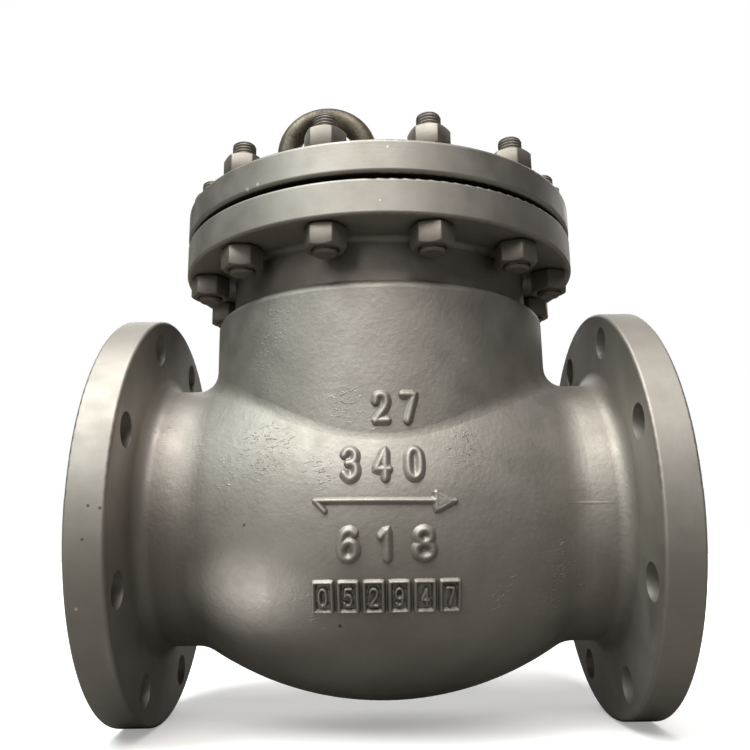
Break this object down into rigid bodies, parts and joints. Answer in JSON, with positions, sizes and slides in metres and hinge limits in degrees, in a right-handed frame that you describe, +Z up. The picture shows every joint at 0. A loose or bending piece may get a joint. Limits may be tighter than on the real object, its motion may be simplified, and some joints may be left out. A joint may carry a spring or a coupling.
{
  "type": "swing check valve",
  "caption": "Flanged swing check valve with a rounded bowl body, a bolted round cover and a hinged disc that lets flow pass one way only.",
  "frame": {"origin": "centre of the inlet bolt circle, on the inlet flange's bolting face; the raised face stands 1.6 mm in front of it", "axes": "+X along the flow axis from the inlet to the outlet, +Z up to the cover, -Y towards the side that the picture shows"},
  "size_m": [0.356, 0.286, 0.4276],
  "materials": {
    "cast_paint": "silver-grey satin paint over cast steel with a fine sand-cast grain",
    "cover_paint": "the same silver-grey paint over a smoother plate",
    "fastener_paint": "the same silver-grey paint, thin over steel studs and nuts",
    "gasket": "matt dark grey graphite sheet",
    "seat_steel": "turned and lapped stainless steel",
    "disc_steel": "cast stainless steel, turned on its face and edge",
    "bright_steel": "bare machined steel",
    "pin_wire": "drawn stainless wire",
    "inner_cast": "bare cast steel, blasted",
    "bronze": "turned bronze",
    "black_steel": "forged steel with a dark oxide skin"
  },
  "bodies": {
    "valve_body": {"body": "cast_paint", "seat_ring": "seat_steel", "cover": "cover_paint", "cover_gasket": "gasket", "cover_studs": "fastener_paint", "cover_nuts_upper": "fastener_paint", "cover_nuts_lower": "fastener_paint", "lifting_eyebolt_front": "black_steel", "lifting_eyebolt_rear": "black_steel", "hinge_bracket": "inner_cast", "bracket_bolts": "bright_steel", "bracket_lock_washers": "bright_steel", "hinge_pin": "bright_steel", "hinge_pin_washers": "bright_steel", "hinge_pin_split_pins": "pin_wire"},
    "swing_arm": {"hinge_arm": "inner_cast", "arm_bushing": "bronze"},
    "disc_group": {"disc": "disc_steel", "disc_washer": "bright_steel", "disc_nut": "bright_steel", "disc_split_pin": "pin_wire"}
  },
  "joints": [
    {"name": "clapper_swing", "type": "hinge", "parent": "valve_body", "child": "swing_arm", "pos_m": [0.10423, 0, 0.10609], "axis": [0, -1, 0], "range_deg": [0, 65]},
    {"name": "disc_spin", "type": "hinge", "parent": "swing_arm", "child": "disc_group", "pos_m": [0.0964, 0, 0], "axis": [0.9962, 0, 0.0872], "continuous": true}
  ]
}
